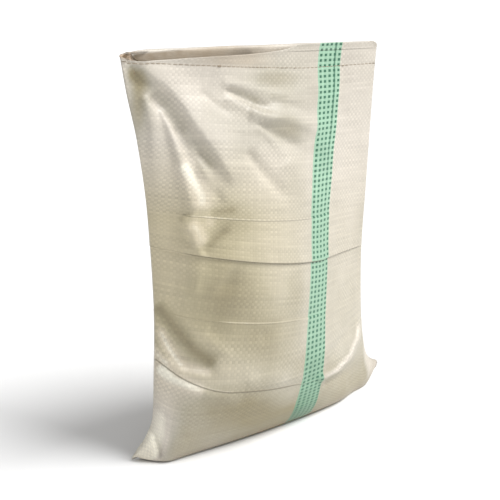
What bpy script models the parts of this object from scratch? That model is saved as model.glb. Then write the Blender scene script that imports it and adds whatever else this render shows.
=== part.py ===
"""Woven polypropylene sack, filled to about two thirds, standing on its sewn bottom.

Metres. X runs along the width of the laid-flat sack, the front panel faces -Y, +Z is up.
The origin is on the floor, at the middle of the standing sack's outline seen from above.
"""
import bpy
import math
import numpy as np

# Driving dimensions, millimetres.
STAND_HEIGHT = 415.0     # floor to mouth at the right as it stands
RIM_LIFT = 3.0           # how much higher the mouth is at the left
RIM_BAND = 40.0          # height over which the rim takes up its lift and droop
LIP_BAND = 55.0          # height over which the body narrows to the mouth
WALL = 1.2               # wall of the cloth as a solid
EDGE_HALF = 0.6          # half thickness at the folded side edges
HEM_DEPTH = 25.0         # hem folded in at the mouth
THREAD_R = 0.55          # sewing thread radius
THREAD_GAP = 0.4         # thread to cloth
SEAM_LIFT = 3.2          # stand-off of the bottom seam above the floor
MOUTH_GAP = 19.0         # widest opening of the mouth, left of the middle
MOUTH_DROP = 6.0         # droop of the front rim where the mouth is open
MOUTH_AT = -0.42         # where the mouth is open widest, across the panel from -1 to 1
MOUTH_SPREAD = 0.34      # half width of the open part, same measure
FRONT_LIP = 1.5          # stand-off of the closed front rim
BACK_LIP = 3.0           # stand-off of the back rim

# Facets across one panel, and how far they crowd towards the side edges.
COLUMNS = 38
CROWDING = 0.35

# Filled corner in front of the left ear, hollow beside the right ear: stand-off, place
# across the panel from -1 to 1, half width, and the levels over which both fade out.
CORNER_OUT = (13.0, -0.92, 0.09)
CORNER_IN = (7.0, 0.8, 0.16)
CORNER_FADE = (15.0, 70.0)
CORNER_EDGE = 0.4

# Outline of the standing sack at levels above the floor: how far each panel stands off the
# plane of the side edges, how square its outline is, and how much fuller it is to the left.
LEVELS = (0.0, 8.0, 25.0, 83.0, 166.0, 249.0, 332.0, 378.0, 415.0)
FRONT_BELLY = (24.0, 31.0, 41.0, 53.0, 53.0, 43.0, 26.0, 13.0, 5.0)
FRONT_POWER = (0.42, 0.42, 0.5, 0.72, 0.88, 0.9, 0.9, 0.9, 0.9)
FRONT_SKEW = (0.0, 0.0, 0.15, 0.55, 0.75, 0.85, 0.8, 0.6, 0.4)
BACK_BELLY = (49.0, 56.0, 61.0, 67.0, 66.0, 58.0, 40.0, 22.0, 4.0)
BACK_POWER = 0.75

# Side edges: height, then x and y.
LEFT_Z = (3.0, 15.0, 28.0, 45.0, 83.0, 166.0, 249.0, 332.0, 378.0, 415.0)
LEFT_X = (-176.0, -172.0, -165.0, -157.0, -151.0, -146.0, -149.0, -158.5, -168.0, -175.0)
LEFT_Y = (0.0, -6.0, -11.0, -12.0, -9.0, -5.0, -3.0, -1.0, 0.0, 0.0)
RIGHT_Z = (22.0, 27.0, 33.0, 45.0, 83.0, 166.0, 249.0, 332.0, 378.0, 415.0)
RIGHT_X = (183.0, 178.0, 169.0, 162.0, 156.0, 154.5, 159.0, 164.0, 167.0, 170.5)
RIGHT_Y = (-6.0, -7.0, -7.0, -5.0, -2.0, 0.0, 0.0, 0.0, 0.0, 0.0)

# Ears: height of the seam's ends, how much the side edges climb under the sack, and how much
# higher a row of the cloth runs at the side edges than in the middle, fading with height.
LEFT_EAR_Z = 3.0
LEFT_EAR_CLIMB = 24.0
RIGHT_EAR_Z = 22.0
RIGHT_EAR_CLIMB = 9.0
LEFT_SWEEP = 27.0
RIGHT_SWEEP = 32.0
SWEEP_FALL = 62.0
SWEEP_FROM = 0.7         # part of the half panel that stays level
LEFT_SWEEP_POWER = 4
RIGHT_SWEEP_POWER = 2

# Rows of the cloth: under the sack as (reach from the seam, share of its lift), then up the wall.
UNDER_ROWS = ((0.0, 1.0), (0.12, 1.0), (0.32, 0.0), (0.6, 0.0), (0.85, 0.0), (1.0, 0.0))
UNDER_POWER = 0.9
WALL_ROWS = (2.5, 7.0, 14.0, 24.0, 37.0, 52.0, 70.0, 90.0, 112.0, 135.0, 158.0, 181.0, 204.0,
             227.0, 250.0, 272.0, 293.0, 313.0, 332.0, 349.0, 364.0, 377.0, 390.0, 403.0,
             STAND_HEIGHT)

# Main folds of the front panel: x and z of both ends, half width, height (hollows negative).
FOLDS = (
    (-140.0, 396.0, -66.0, 288.0, 13.0, 6.0),
    (-146.0, 362.0, -92.0, 268.0, 14.0, -6.0),
    (-128.0, 330.0, -98.0, 285.0, 8.0, 4.0),
    (-56.0, 376.0, -4.0, 348.0, 15.0, -5.0),
    (-28.0, 344.0, 22.0, 290.0, 12.0, 3.5),
    (-60.0, 204.0, 110.0, 176.0, 11.0, -4.0),
    (-140.0, 104.0, -60.0, 64.0, 12.0, -4.0),
    (-60.0, 64.0, 60.0, 38.0, 12.0, -4.0),
)
FOLD_FADE = (10.0, 30.0)  # levels over which the folds fade out at the floor

# Inside of the cloth: drawn in at the side edges, more under the sack, and lifted off the floor.
INSIDE_DRAW = 2.2
INSIDE_END = 16.0
TURN_LEVEL = 14.0        # level where the inside has turned from the floor to the wall
TURN_LIFT = 0.75         # share of the wall's thickness that is upward at its foot
MEET_GAP = 0.25          # least stand-off where the two panels come together
MEET_SLOPE = 0.6

# Contents: a core a little smaller than the inside of the cloth all round.
FILL_GAP = 0.8           # contents to cloth
FILL_TOP = 262.0         # level of the contents at the side walls
FILL_HEAP = 16.0         # rise of the contents in the middle
HEAP_RINGS = (0.82, 0.6, 0.36, 0.14)
FILL_DRAW = 4.6
FILL_END = (1.5, 20.0, 26.0)       # drawn in at the ends: always, more at the floor, its fall
FILL_FOOT = (0.36, 3.0, 17.0, 31.0)  # lowest row: reach, lift, left and right heights
FILL_FOLD = 1.3          # extra clearance from a fold
FILL_RISE = 7.0          # lift of its lower edge towards the ears
FILL_SHOULDER = (4.5, 0.5, 0.75)   # lift of its foot, and where across the panel it sets in
FILL_SLACK = (1.5, 20.0, 0.8)      # clearance at its foot, its fall, largest share
FILL_CORNER = (2.0, -0.85, 0.15, 80.0)  # clearance from the left corner, place, width, fall

# Thread ends are kept off the side edges by this much.
THREAD_END = 1.5
THREAD_SIDES = 6


def wipe():
    """Start from an empty scene."""
    for obj in list(bpy.data.objects):
        bpy.data.objects.remove(obj, do_unlink=True)


def smooth(xs, ys, x):
    """Monotone cubic curve through the points of a profile."""
    xs = np.asarray(xs, float)
    ys = np.asarray(ys, float)
    h = np.diff(xs)
    d = np.diff(ys) / h
    m = np.zeros(len(xs))
    m[0] = d[0]
    m[-1] = d[-1]
    for i in range(1, len(xs) - 1):
        if d[i - 1] * d[i] > 0.0:
            w1 = 2.0 * h[i] + h[i - 1]
            w2 = h[i] + 2.0 * h[i - 1]
            m[i] = (w1 + w2) / (w1 / d[i - 1] + w2 / d[i])
    x = min(max(x, xs[0]), xs[-1])
    i = int(np.clip(np.searchsorted(xs, x) - 1, 0, len(h) - 1))
    t = (x - xs[i]) / h[i]
    a = (1.0 + 2.0 * t) * (1.0 - t) ** 2
    b = t * (1.0 - t) ** 2
    c = t * t * (3.0 - 2.0 * t)
    e = t * t * (t - 1.0)
    return a * ys[i] + b * h[i] * m[i] + c * ys[i + 1] + e * h[i] * m[i + 1]


def ramp(x, lo, hi):
    """Smooth step from 0 at lo to 1 at hi."""
    t = min(max((x - lo) / (hi - lo), 0.0), 1.0)
    return t * t * (3.0 - 2.0 * t)


def bell(x, middle, width):
    """Smooth bump of height 1 at the middle."""
    return math.exp(-((x - middle) / width) ** 2)


def mouth_bump(q):
    """How far the mouth is open along its width, 0 to 1."""
    return bell(q, MOUTH_AT, MOUTH_SPREAD) * max(1.0 - q * q, 0.0) ** 0.5


def folds(x, z):
    """Rise of the folds of the front panel at a point of it."""
    rise = 0.0
    for x0, z0, x1, z1, width, height in FOLDS:
        dx = x1 - x0
        dz = z1 - z0
        t = ((x - x0) * dx + (z - z0) * dz) / (dx * dx + dz * dz)
        t = min(max(t, 0.0), 1.0)
        gap = math.hypot(x - x0 - t * dx, z - z0 - t * dz)
        rise += height * bell(gap, 0.0, width)
    return rise


def belly(q, level, front):
    """Distance of a panel from the plane of the side edges."""
    r = max(1.0 - q * q, 0.0)
    if front:
        body = smooth(LEVELS, FRONT_BELLY, level) * r ** smooth(LEVELS, FRONT_POWER, level)
        body *= 1.0 - smooth(LEVELS, FRONT_SKEW, level) * q
        out, out_at, out_width = CORNER_OUT
        hollow, hollow_at, hollow_width = CORNER_IN
        corner = out * bell(q, out_at, out_width) * r ** 0.5 / CORNER_EDGE
        corner -= hollow * bell(q, hollow_at, hollow_width)
        body += corner * (1.0 - ramp(level, *CORNER_FADE))
        lip = FRONT_LIP * r + MOUTH_GAP * mouth_bump(q)
    else:
        body = smooth(LEVELS, BACK_BELLY, level) * r ** BACK_POWER
        lip = BACK_LIP * r
    w = ramp(level, STAND_HEIGHT - LIP_BAND, STAND_HEIGHT)
    return body * (1.0 - w) + lip * w


def rings():
    """Rows of the cloth from the bottom seam up: (reach, middle z, left z, right z)."""
    rows = []
    for g, lift in UNDER_ROWS:
        left = LEFT_EAR_Z + LEFT_EAR_CLIMB * g
        right = RIGHT_EAR_Z + RIGHT_EAR_CLIMB * g
        rows.append((g, SEAM_LIFT * lift, left, right))
    for z in WALL_ROWS:
        fall = math.exp(-z / SWEEP_FALL)
        rows.append((1.0, z, z + LEFT_SWEEP * fall, z + RIGHT_SWEEP * fall))
    rows[-1] = (1.0, STAND_HEIGHT, STAND_HEIGHT, STAND_HEIGHT)
    return rows


def lateral(q, row, inset, side_inset, front):
    """One point of the cloth's outside, or of a surface set in from it.

    An inset of WALL gives the inside of the cloth, a larger one the contents.
    """
    g, zm, zl, zr = row
    is_fill = inset > WALL
    end = 0.0
    if inset > 0.0:
        end = INSIDE_END * (1.0 - g)
    if is_fill:
        always, more, fall = FILL_END
        end += more * math.exp(-zm / fall) + always
    xl = smooth(LEFT_Z, LEFT_X, zl)
    yl = smooth(LEFT_Z, LEFT_Y, zl)
    xr = smooth(RIGHT_Z, RIGHT_X, zr)
    yr = smooth(RIGHT_Z, RIGHT_Y, zr)
    mid = 0.5 * (xl + xr)
    half = 0.5 * (xr - xl)
    x = mid + (half - side_inset - end) * q
    qt = (x - mid) / half
    ye = 0.5 * (yl + yr) + 0.5 * (yr - yl) * qt
    near_edge = max(0.0, (abs(qt) - SWEEP_FROM) / (1.0 - SWEEP_FROM))
    k = near_edge ** (LEFT_SWEEP_POWER if qt < 0.0 else RIGHT_SWEEP_POWER)
    edge = zl if qt < 0.0 else zr
    z = zm + (edge - zm) * k
    level = zm if g >= 1.0 else 0.0
    share = g ** UNDER_POWER if g > 0.0 else 0.0
    out = belly(qt, level, front) * share
    other = belly(qt, level, not front) * share
    if front:
        rise = folds(x, zm) * (1.0 - abs(qt) ** 4) * ramp(zm, *FOLD_FADE)
        if is_fill:
            rise = min(rise, 0.0) - FILL_FOLD * min(abs(rise), 1.0)
        out += rise
    up = 1.0 - ramp(zm, 0.0, TURN_LEVEL) if g >= 1.0 else 1.0
    up *= TURN_LIFT if g >= 1.0 else 1.0
    iny = inset * (math.sqrt(max(1.0 - up * up, 0.0)) * (1.0 - k) + k)
    reach = EDGE_HALF + out - iny
    if inset > 0.0:
        reach = max(reach, MEET_GAP - MEET_SLOPE * other - (inset - WALL))
    else:
        reach = max(reach, EDGE_HALF)
    z += inset * up
    if is_fill:
        shoulder, first, last = FILL_SHOULDER
        slack, slack_fall, most = FILL_SLACK
        z += FILL_RISE * near_edge ** 2 * up
        z += shoulder * ramp(abs(qt), first, last) * up * up
        reach -= slack * math.exp(-zm / slack_fall) * min(g, most)
        if front:
            clear, place, width, fall = FILL_CORNER
            reach -= clear * math.exp(-((qt - place) / width) ** 2 - zm / fall)
    w = ramp(zm, STAND_HEIGHT - RIM_BAND, STAND_HEIGHT)
    z += w * RIM_LIFT * 0.5 * (1.0 - qt)
    if front:
        z -= w * MOUTH_DROP * mouth_bump(qt)
    return (x, ye - reach if front else ye + reach, z)


def loop(row, inset, side_inset):
    """Closed row of points: front left to right, then back right to left."""
    n = COLUMNS
    qs = []
    for i in range(n + 1):
        crowded = -math.cos(math.pi * i / n)
        even = 2.0 * i / n - 1.0
        qs.append(crowded * CROWDING + even * (1.0 - CROWDING))
    pts = [lateral(q, row, inset, side_inset, True) for q in qs]
    pts += [lateral(q, row, inset, side_inset, False) for q in reversed(qs)]
    return pts


def add_mesh(name, verts, faces):
    mesh = bpy.data.meshes.new(name)
    mesh.from_pydata([(x / 1000.0, y / 1000.0, z / 1000.0) for x, y, z in verts], [], faces)
    mesh.validate()
    mesh.update()
    obj = bpy.data.objects.new(name, mesh)
    bpy.context.collection.objects.link(obj)
    return obj


def bridge(faces, a, b, n, flip=False):
    """Quads between two closed rows that start at vertex a and vertex b, as triangles."""
    for i in range(n):
        j = (i + 1) % n
        quad = (a + i, a + j, b + j, b + i)
        if flip:
            quad = tuple(reversed(quad))
        faces.append((quad[0], quad[1], quad[2]))
        faces.append((quad[0], quad[2], quad[3]))


def cap_strip(faces, a, n, flip=False):
    """Close a row whose front and back points face each other."""
    half = n // 2
    for i in range(half - 1):
        quad = (a + i, a + n - 1 - i, a + n - 2 - i, a + i + 1)
        if flip:
            quad = tuple(reversed(quad))
        faces.append((quad[0], quad[1], quad[2]))
        faces.append((quad[0], quad[2], quad[3]))


def build_fabric():
    """The tube of cloth, closed at the bottom seam and open at the mouth."""
    rows = rings()
    n = 2 * (COLUMNS + 1)
    verts = []
    faces = []
    outer = []
    for row in rows:
        outer.append(len(verts))
        verts += loop(row, 0.0, 0.0)
    inner = []
    for row in rows[1:]:
        inner.append(len(verts))
        verts += loop(row, WALL, INSIDE_DRAW)
    cap_strip(faces, outer[0], n)
    for a, b in zip(outer[:-1], outer[1:]):
        bridge(faces, a, b, n)
    bridge(faces, outer[-1], inner[-1], n)
    for a, b in zip(inner[:-1], inner[1:]):
        bridge(faces, a, b, n, True)
    cap_strip(faces, inner[0], n, True)
    return add_mesh("sack_fabric", verts, faces)


def build_fill():
    """The contents as one core with a low heap on top."""
    reach, lift, left, right = FILL_FOOT
    rows = [(reach, SEAM_LIFT + lift, left, right)]
    rows += [r for r in rings()[3:] if r[1] <= FILL_TOP]
    n = 2 * (COLUMNS + 1)
    inset = WALL + FILL_GAP
    verts = []
    faces = []
    starts = []
    for row in rows:
        starts.append(len(verts))
        verts += loop(row, inset, FILL_DRAW)
    last = loop(rows[-1], inset, FILL_DRAW)
    cx = sum(p[0] for p in last) / n
    cy = sum(p[1] for p in last) / n
    for k in HEAP_RINGS:
        starts.append(len(verts))
        rise = FILL_HEAP * (1.0 - k * k)
        verts += [(cx + (p[0] - cx) * k, cy + (p[1] - cy) * k, p[2] + rise) for p in last]
    cap_strip(faces, starts[0], n)
    for a, b in zip(starts[:-1], starts[1:]):
        bridge(faces, a, b, n)
    cap_strip(faces, starts[-1], n, True)
    return add_mesh("contents", verts, faces)


def tube(name, path, radius, closed):
    """Round thread along a path of points."""
    sides = THREAD_SIDES
    pts = np.asarray(path, float)
    n = len(pts)
    verts = []
    faces = []
    up = np.array((0.0, 0.0, 1.0))
    for i in range(n):
        if closed:
            t = pts[(i + 1) % n] - pts[i - 1]
        else:
            t = pts[min(i + 1, n - 1)] - pts[max(i - 1, 0)]
        t = t / np.linalg.norm(t)
        side = np.cross(t, up)
        side = side / np.linalg.norm(side)
        v = np.cross(side, t)
        for k in range(sides):
            a = 2.0 * math.pi * (k + 0.5) / sides
            p = pts[i] + radius * (math.cos(a) * side + math.sin(a) * v)
            verts.append(tuple(p))
    count = n if closed else n - 1
    for i in range(count):
        a = i * sides
        b = ((i + 1) % n) * sides
        for k in range(sides):
            m = (k + 1) % sides
            faces.append((a + k, b + m, a + m))
            faces.append((a + k, b + k, b + m))
    if not closed:
        first = len(verts)
        verts.append(tuple(pts[0]))
        verts.append(tuple(pts[-1]))
        e = (n - 1) * sides
        for k in range(sides):
            m = (k + 1) % sides
            faces.append((first, k, m))
            faces.append((first + 1, e + m, e + k))
    return add_mesh(name, verts, faces)


def build_hem_thread():
    """Chain stitch round the mouth, one hem depth below the rim."""
    z = STAND_HEIGHT - HEM_DEPTH
    row = (1.0, z, z, z)
    pts = loop(row, 0.0, 0.0)
    off = THREAD_R + THREAD_GAP
    n = len(pts)
    path = []
    for i in range(n):
        a = pts[i - 1]
        b = pts[(i + 1) % n]
        tx = b[0] - a[0]
        ty = b[1] - a[1]
        length = math.hypot(tx, ty)
        x = pts[i][0] + ty / length * off
        if i in (0, n - 1):
            x -= THREAD_END
        if i in (n // 2 - 1, n // 2):
            x += THREAD_END
        path.append((x, pts[i][1] - tx / length * off, pts[i][2]))
    return tube("mouth_hem_thread", path, THREAD_R, True)


def build_seam_thread():
    """Stitch line along the bottom seam, ear to ear."""
    row = rings()[0]
    pts = loop(row, 0.0, 0.0)
    half = len(pts) // 2
    drop = THREAD_R * 1.1 + THREAD_GAP
    path = []
    for i in range(half):
        f = pts[i]
        b = pts[len(pts) - 1 - i]
        path.append((f[0], 0.5 * (f[1] + b[1]), f[2] - drop))
    return tube("bottom_seam_thread", path, THREAD_R, False)


def paint(obj, name, colour, rough):
    mat = bpy.data.materials.new(name)
    mat.use_nodes = True
    shader = mat.node_tree.nodes["Principled BSDF"]
    shader.inputs["Base Color"].default_value = colour
    shader.inputs["Roughness"].default_value = rough
    obj.data.materials.append(mat)


def centre(objects):
    """Put the middle of the footprint's outline on the origin."""
    co = np.array([v.co[:] for obj in objects for v in obj.data.vertices])
    low = co.min(axis=0)
    high = co.max(axis=0)
    mid = 0.5 * (low + high)
    for obj in objects:
        for v in obj.data.vertices:
            v.co.x -= mid[0]
            v.co.y -= mid[1]
        obj.data.update()


wipe()
fabric = build_fabric()
fill = build_fill()
hem = build_hem_thread()
seam = build_seam_thread()
centre([fabric, fill, hem, seam])
paint(fabric, "woven_polypropylene", (0.62, 0.56, 0.46, 1.0), 0.5)
paint(fill, "dry_sand", (0.45, 0.36, 0.25, 1.0), 0.9)
paint(hem, "hem_thread", (0.5, 0.44, 0.35, 1.0), 0.6)
paint(seam, "seam_thread", (0.7, 0.66, 0.58, 1.0), 0.6)
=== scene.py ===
"""Looks of the woven polypropylene sack: its cloth, stitches, fill, light and camera.

The cloth is one grid of points in millimetres, on an outline close to that of the CAD solid. It
is folded in at the mouth, creased where the photograph shows folds, and set into the CAD's box.
"""
import math

import bpy
import numpy as np
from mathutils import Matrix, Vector, noise


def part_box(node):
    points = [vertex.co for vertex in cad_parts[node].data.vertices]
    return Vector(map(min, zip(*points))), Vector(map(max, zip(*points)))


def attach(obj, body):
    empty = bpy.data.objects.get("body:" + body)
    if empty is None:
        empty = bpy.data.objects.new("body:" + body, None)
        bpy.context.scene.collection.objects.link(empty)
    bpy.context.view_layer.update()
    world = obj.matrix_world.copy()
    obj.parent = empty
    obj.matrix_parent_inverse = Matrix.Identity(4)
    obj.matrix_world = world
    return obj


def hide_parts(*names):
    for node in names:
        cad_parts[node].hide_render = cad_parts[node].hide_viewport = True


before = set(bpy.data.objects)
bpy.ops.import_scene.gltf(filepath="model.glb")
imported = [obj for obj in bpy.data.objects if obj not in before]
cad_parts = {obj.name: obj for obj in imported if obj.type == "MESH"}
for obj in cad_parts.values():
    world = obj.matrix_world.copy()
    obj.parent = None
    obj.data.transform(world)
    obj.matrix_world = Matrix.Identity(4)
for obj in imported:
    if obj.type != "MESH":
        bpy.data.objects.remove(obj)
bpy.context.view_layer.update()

PER_METRE = 1000  # millimetres in a metre

# Camera, fitted to the outline and the weave in the photograph.
IMAGE_PX = 500
FOCAL_PX = 1001
SENSOR = 36
CAMERA_PITCH = math.radians(14.9)
CAMERA_YAW = math.radians(39.3)
CAMERA_AT = np.array((-679.8, -809.6, 477.9))

# Studio: even pale surroundings and one soft key from the upper right front.
SKY_LIGHT = 0.5
KEY_LIGHT = 3.6
KEY_SOFTNESS = math.radians(36)
KEY_FROM = (0.45, -0.42, 0.79)
FLOOR_HALF = 40  # metres

# Cloth, in millimetres. The outline is the part's own, but slimmer at the left corner and the
# right ear. A place across a panel is q, from -1 at its left edge to 1 at its right edge.
FLAT_WIDTH = 350
HEIGHT = 415
RIM_LIFT = 3  # how much higher the left end of the mouth stands
HEM_DEPTH = 25
SEAM_LIFT = 3.2
CLOTH = 0.45
BASE_ROUND = 5
LEVELS = (0, 8, 25, 83, 166, 249, 332, 378, 415)
FRONT_BELLY = (24, 31, 41, 53, 53, 43, 26, 13, 5)
FRONT_POWER = (0.42, 0.42, 0.5, 0.72, 0.88, 0.9, 0.9, 0.9, 0.9)
FRONT_SKEW = (0, 0, 0.15, 0.55, 0.75, 0.85, 0.8, 0.6, 0.4)
BACK_BELLY = (49, 56, 61, 67, 66, 58, 40, 22, 4)
BACK_POWER = 0.75
LEFT_Z = (3, 15, 28, 45, 83, 166, 249, 332, 378, 415)
LEFT_X = (-176, -172, -165, -157, -151, -146, -149, -158.5, -168, -175)
LEFT_Y = (0, -6, -11, -12, -9, -5, -3, -1, 0, 0)
RIGHT_Z = (22, 27, 31, 36, 45, 83, 166, 249, 332, 378, 415)
RIGHT_X = (183, 179, 170.5, 164.5, 160.5, 156, 154.5, 159, 164, 167, 170.5)
RIGHT_Y = (-6, -7, -7, -6.6, -5, -2, 0, 0, 0, 0, 0)
LEAST_DEPTH = 0.25  # of each panel in front of or behind the plane of the side edges
PART_OUT = 0.35  # how much further out the part's own wall stands

# Lips of the mouth, its opening with a place and half width, and the height they blend over.
FRONT_LIP = 1.5
BACK_LIP = 3
MOUTH_GAP = 19
MOUTH = (-0.42, 0.34)
LIP_BLEND = 55

# The front beside its lower corners, fuller at the left and hollow at the right: size, place and
# half width across, then the levels over which it fades.
CORNER_OUT = (4, -0.92, 0.09)
CORNER_IN = (7, 0.8, 0.16)
CORNER_FADE = (15, 70)
LEFT_FILL = (1, -0.77, 0.1)
LEFT_FILL_FADE = (20, 75)

# Heights of the side edges: the tips of the ears, how far the ears reach above them, and how
# much higher than the middle the edges run, fading upwards.
LEFT_TIP = 3
LEFT_EAR = 24
LEFT_RISE = 27
RIGHT_TIP = 22
RIGHT_EAR = 9
RIGHT_RISE = 32
RISE_FADE = 62
EDGE_ZONE = 0.3  # share of a half panel where it bends up to the edge
LEFT_BEND = (4, 7)  # how sharply it bends, and how much more so near the floor
RIGHT_BEND = (2, 4)
BEND_FADE = (15, 80)
RIGHT_EAR_NECK = 165  # where the right ear leaves the body, x
NECK_ZONE = 0.14

# How much higher a weft tape runs at the left edge than at the stripe, by level.
TILT_LEVEL = (0, 45, 83, 125, 180, 250, 320, 391, 415)
TILT = (0, 12, 22, 36, 42, 28, 20, 15, 0)
TILT_END = 0.35
RIGHT_DROP = 8  # and how much lower it runs at the right edge, between these levels
RIGHT_DROP_IN = (40, 120)
RIGHT_DROP_OUT = (250, 380)

# Grid of the cloth: points across each panel, then rows under the sack, up the wall to the rim,
# and in the hem folded down inside it, as shares of its depth.
ACROSS_FRONT = 156
ACROSS_BACK = 92
CROWDING = 0.3
UNDER_ROWS = 14
PRESS_ROWS = (-2.2, -1.1, -0.4, 0.4, 1.1, 2.2)
HEM_ROWS = (0.03, 0.07, 0.13, 0.21, 0.3, 0.4, 0.5, 0.6, 0.7, 0.8, 0.9, 1)
LEVEL_ROWS = [1.2 + 3.05 * i for i in range(134)]
TOP_ROWS = [410.5, 412.6, 414, HEIGHT]

# The stripe: middle tape, and where its middle runs on the standing sack, x at each height.
STRIPE_U = 274
STRIPE_Z = (2, 29, 53, 86, 141, 195, 248, 301, 323, 376, 413)
STRIPE_X = (21, 25.5, 30, 36.5, 45, 52.5, 62, 73, 79, 90.5, 96.5)
STRIPE_HALF = 20  # the cloth is stretched within this distance of its middle
STRETCH_Z = (0, 60, 110, 250, 300, 350, 413)
STRETCH = (1.1, 1.25, 1.32, 1.32, 1.24, 1.16, 1.05)
TAPE = 3.333  # pitch of the warp tapes, and of the weft tapes
WEFT = 2.75

# Cloth from the seam to the wall, under the front and how much more under the back. The foot of
# the sack takes up this much more cloth than height, between these levels.
UNDER_V = 28
UNDER_BACK = 20
FOOT_LOW = 10
FOOT_HIGH = 80
FOOT_EXTRA = 0.8
WALL_V = UNDER_V + FOOT_EXTRA * 0.5 * (FOOT_LOW + FOOT_HIGH)

# Folds of the front as lines of photograph pixels: points, half width in pixels and height in mm
# at both ends (hollows negative), and how much steeper the lower left flank is.
CORNER_FOLDS = (
    (((134, 62), (146, 73), (156, 80), (168, 89), (178, 102), (186, 113), (194, 126), (204, 139),
      (214, 152), (224, 168), (238, 188)), (12, 14), (5.8, 4.6), 0.68),
    (((150, 92), (157, 101), (166, 111), (177, 124), (187, 137), (197, 153), (207, 173)), (7, 7),
      (-5, -3.8), 0),
    (((142, 94), (147, 110), (151, 126), (152, 150), (150, 200)), (7, 8), (4.2, 3.4), 0.5),
    (((159, 106), (165, 121), (172, 139), (178, 160), (184, 183), (190, 203), (194, 222)), (5, 9),
      (2.6, 5.2), 0.55),
    (((181, 216), (188, 230), (194, 241), (204, 258)), (9, 8), (5, 3.4), 0.6),
    (((214, 188), (221, 202), (210, 213), (198, 218)), (5, 5), (-2, -1.6), 0),
    (((174, 124), (183, 146), (191, 166), (202, 194)), (4, 4), (-2.2, -1.6), 0),
    (((184, 126), (190, 141), (197, 157), (204, 173), (215, 188)), (3.5, 3.5), (2, 1.3), 0.3),
    (((199, 146), (208, 160), (219, 179)), (4, 4), (-1.8, -1), 0),
    (((130, 64), (134, 78), (140, 92)), (5, 5), (-3.4, -2.6), 0),
)
OPENING_FOLDS = (
    (((246, 113), (258, 117), (285, 120), (306, 126), (324, 134)), (6, 9), (4.4, 2.6), 0.4),
    (((255, 121), (266, 127), (284, 137), (298, 145), (309, 149)), (3, 9), (-3, -5.6), -0.2),
    (((255, 122), (270, 138), (288, 158)), (4, 4), (2.4, 1.4), 0),
    (((262, 134), (274, 148)), (3, 3), (-1.2, -0.8), 0),
    (((220, 83), (250, 89), (280, 96), (304, 98)), (4, 4), (2, 1), 0.3),
    (((224, 87), (236, 92), (252, 100), (278, 113)), (2.5, 6), (-3, -4.6), 0),
    (((222, 97), (245, 109), (267, 118), (302, 119)), (4, 4), (1.8, 0.8), 0),
    (((266, 99), (287, 103)), (2.6, 2.6), (-1.3, -0.8), 0),
    (((286, 104), (310, 111)), (3, 3), (-1.4, -0.9), 0),
    (((198, 90), (218, 106), (238, 118)), (3.5, 3.5), (-1.6, -1), 0),
)
BODY_FOLDS = (
    (((246, 150), (268, 176), (294, 204)), (5, 7), (-3.8, -3), 0),
    (((286, 158), (300, 180), (308, 198)), (10, 10), (2.2, 1.2), 0),
    (((170, 205), (172, 270), (176, 322)), (12, 12), (-2.4, -2), 0),
    (((222, 278), (242, 294)), (15, 15), (-3, -2.6), 0),
    (((176, 283), (186, 297), (196, 290), (200, 266)), (3, 3), (1.5, 1), 0),
    (((206, 329), (236, 339)), (7, 7), (-1.6, -1.2), 0),
    (((258, 334), (276, 341)), (6, 6), (-1.5, -1.2), 0),
    (((206, 341), (231, 356), (258, 359)), (3, 3), (1.2, 0.7), 0),
)
SAG_FOLDS = (
    (((146, 312), (154, 328), (165, 345), (177, 360), (189, 367), (222, 370)), (9, 11), (-6, -6.4), 0.5),
    (((166, 308), (179, 327), (193, 345)), (4, 4), (-1.8, -1.4), 0),
    (((148, 333), (158, 352), (170, 365), (184, 374), (216, 378)), (4, 4), (2.2, 1.6), 0),
    (((150, 330), (160, 348)), (2.5, 2.5), (1.4, 1), 0),
    (((152, 363), (170, 376), (190, 387), (212, 394), (244, 397)), (5, 5), (3.4, 1.8), -0.4),
)
EDGE_FOLDS = (
    (((146, 241), (157, 246), (168, 255)), (2.6, 2.6), (1.6, 1.2), 0.3),
    (((148, 251), (158, 256), (170, 262)), (2.6, 2.6), (-1.4, -1), 0),
)
FOOT_FOLDS = (
    (((244, 384), (280, 382), (312, 376)), (6, 6), (1.4, 1), 0.5),
    (((316, 381), (337, 370), (350, 356), (357, 338), (360, 312)), (3, 3), (3.4, 2.8), 0),
    (((322, 386), (341, 376), (356, 360)), (4, 4), (-2, -1.8), 0),
)
MIDDLE_FOLDS = (
    (((200, 254), (210, 242), (222, 231), (236, 221)), (6, 6), (-2.6, -1.6), 0),
    (((200, 262), (195, 285), (187, 308)), (10, 10), (1.8, 1.2), 0),
    (((184, 251), (194, 247), (204, 253)), (2.5, 2.5), (1.4, 1), 0),
)
LOWER_FOLDS = (
    (((330, 358), (345, 336), (354, 316)), (4, 4), (-1.8, -1), 0),
    (((158, 384), (170, 400), (183, 414)), (4, 4), (-1.6, -1.2), 0),
    (((162, 417), (188, 437)), (4, 4), (1.4, 1), 0),
    (((174, 429), (193, 443)), (3.5, 3.5), (-1.2, -0.8), 0),
)
FOLDS = (CORNER_FOLDS + OPENING_FOLDS + BODY_FOLDS + SAG_FOLDS
        + EDGE_FOLDS + FOOT_FOLDS + MIDDLE_FOLDS + LOWER_FOLDS)

# The dent between the left ear and the body, which reaches down to the floor.
EAR_DENT = (((150, 418), (154, 431), (158, 445), (160, 457), (160, 474)), (2.2, 2.4), (-6, -6), 0)
FOLD_GAIN = 1.15  # all of them are this much stronger than traced
FOLD_START = 6  # pixels over which a fold sets in
FOLD_FADE = 20  # and over which it fades out

# Folds of the back: height, place across at BACK_FOLD_LEVEL and its drift per mm of level, half
# width, and the levels over which it sets in.
BACK_FOLD_LEVEL = 200
BACK_FOLDS = ((3, -0.45, 0.0011, 0.1, 190, 340), (-3.4, 0.3, -0.0016, 0.09, 190, 360),
              (2.6, 0.62, -0.0012, 0.07, 210, 350), (-2.2, -0.75, 0.0006, 0.06, 150, 330))

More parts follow.
